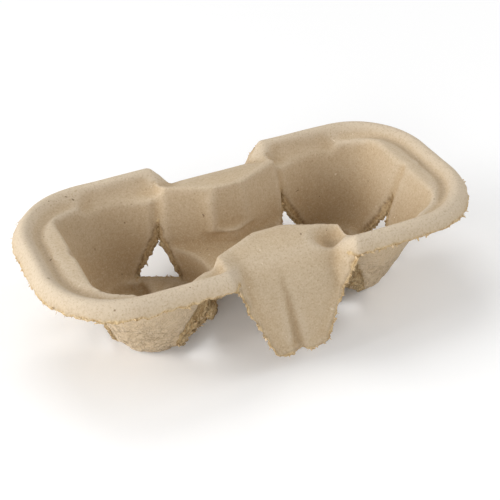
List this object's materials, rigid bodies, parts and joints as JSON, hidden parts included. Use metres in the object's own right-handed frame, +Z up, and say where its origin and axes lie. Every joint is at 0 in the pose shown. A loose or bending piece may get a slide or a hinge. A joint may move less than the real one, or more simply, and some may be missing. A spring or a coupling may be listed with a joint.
{
  "type": "cardboard cup carrier",
  "caption": "Moulded-pulp tray for carrying drinks cups: tapered slotted pockets joined by a low waist, a rolled rim, and a fold-down grip flap on each long side.",
  "frame": {"origin": "middle of the tray at the level its feet stand on", "axes": "+X along the tray from one cup pocket to the other, +Y across it towards a flap, +Z up out of the pockets"},
  "size_m": [0.2144, 0.114, 0.054],
  "materials": {
    "pulp": "matte, fibrous"
  },
  "bodies": {
    "root": {"cup_carrier": "pulp"}
  },
  "joints": []
}
